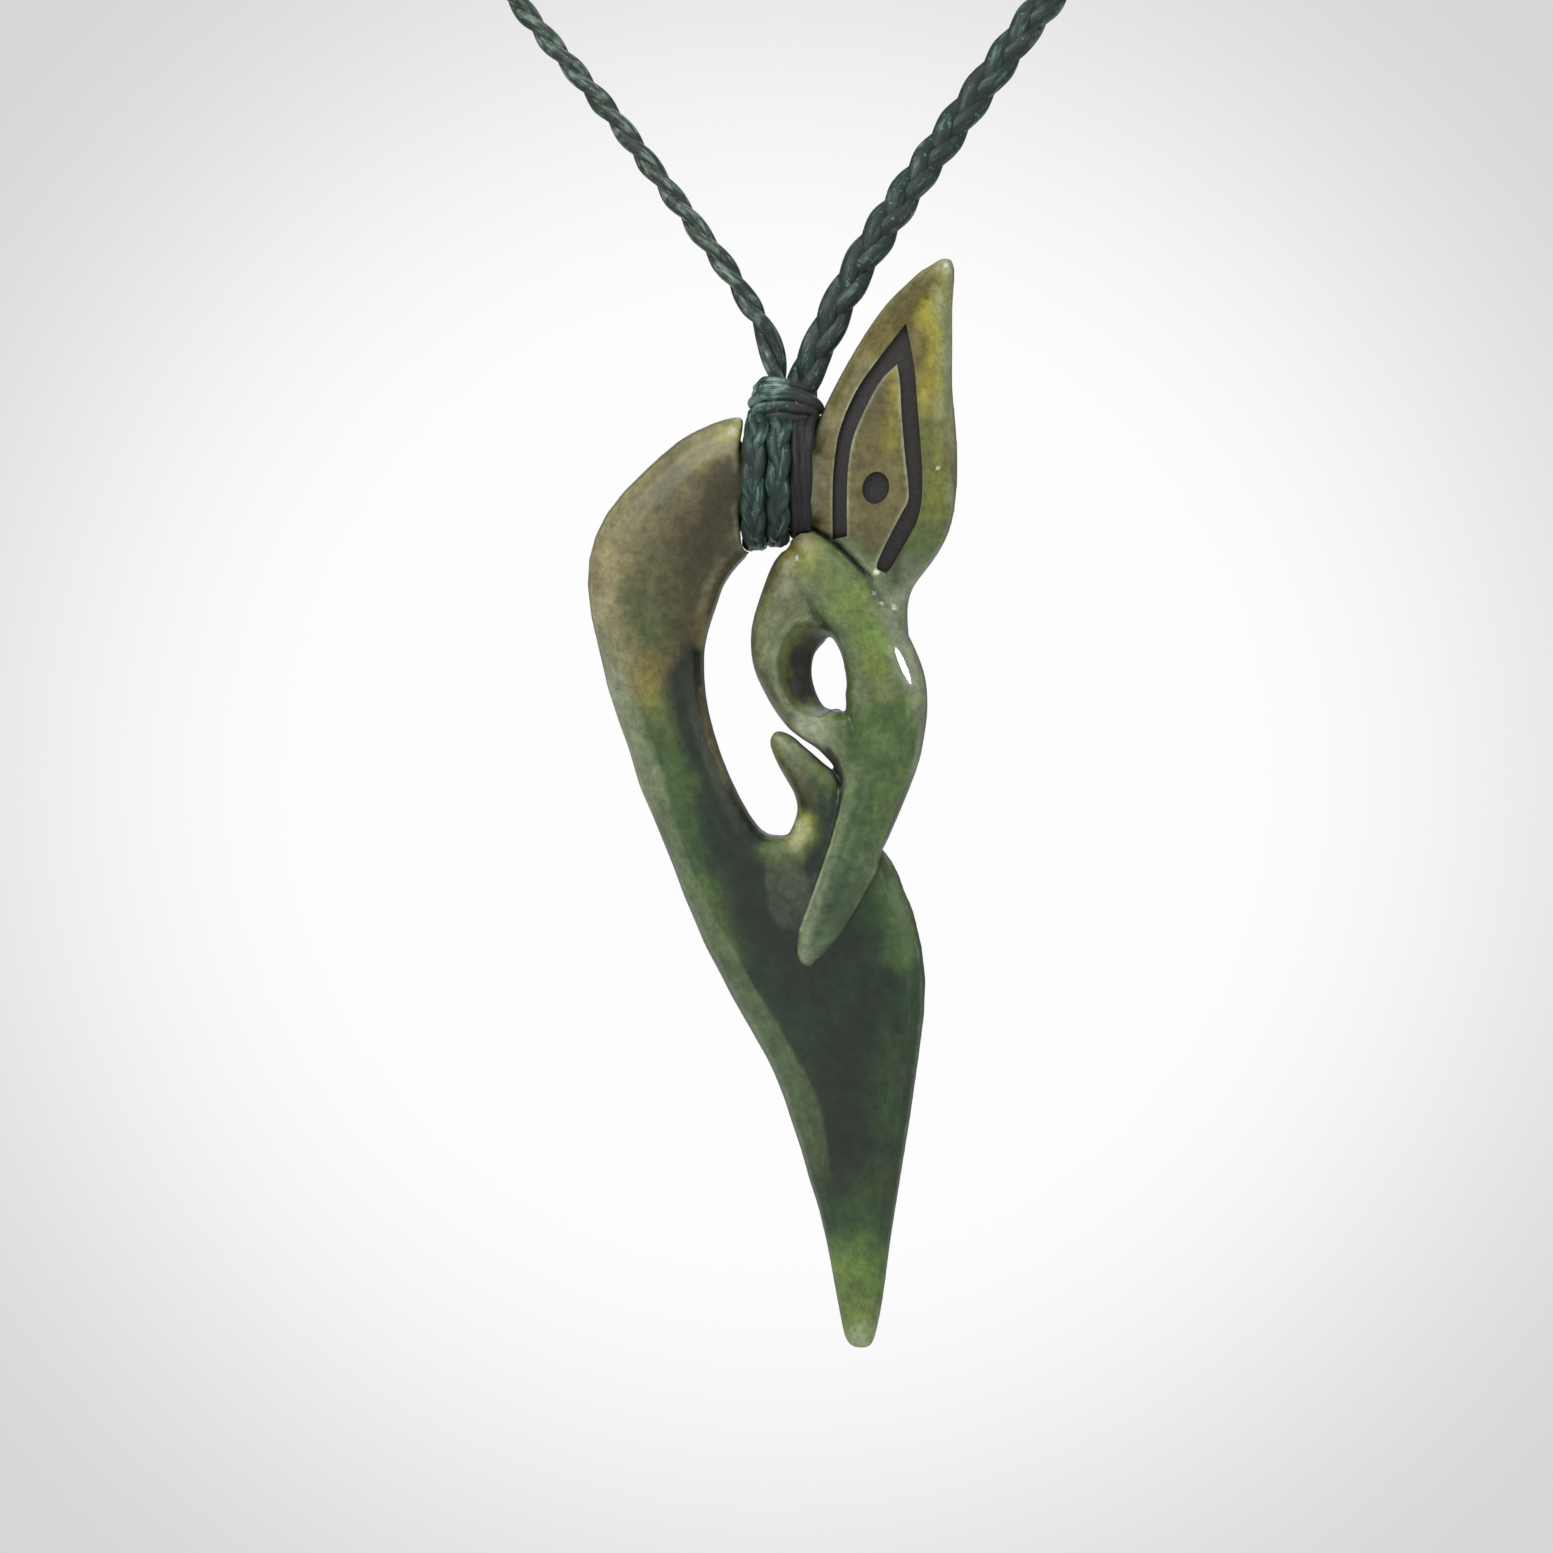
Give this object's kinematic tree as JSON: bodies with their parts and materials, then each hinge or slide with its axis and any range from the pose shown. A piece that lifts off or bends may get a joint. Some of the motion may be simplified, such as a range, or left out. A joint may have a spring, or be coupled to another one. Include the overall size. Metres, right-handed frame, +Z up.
{
  "type": "carved stone pendant on a cord necklace",
  "caption": "Carved green stone pendant, a crescent blade with a leaf-shaped head, looped tongue and barb, lashed to a neck loop of thin twisted and thick braided waxed cord.",
  "frame": {"origin": "where the closed end of the cord loop bears on the nape, on the inner side of the knot", "axes": "+Z up, the front of the stone faces -Y, +X to the right of the front view"},
  "size_m": [0.1218, 0.1346, 0.164],
  "materials": {
    "jade": "polished nephrite, mottled khaki, olive and very dark green",
    "waxed_cord": "waxed green thread, laid and plaited, with a waxy sheen",
    "dark_cord": "the same waxed thread, nearly black"
  },
  "bodies": {
    "necklace": {"lashing_turn_left": "waxed_cord", "lashing_turn_middle": "waxed_cord", "lashing_turn_right": "dark_cord", "collar_wrap": "waxed_cord", "twisted_cord": "waxed_cord", "braided_cord": "waxed_cord", "nape_knot": "waxed_cord"},
    "stone": {"manaia_stone": "jade"}
  },
  "joints": [
    {"name": "stone_swing", "type": "hinge", "parent": "necklace", "child": "stone", "pos_m": [0, -0.126, -0.11], "axis": [1, 0, 0], "range_deg": [-20, 20]}
  ]
}
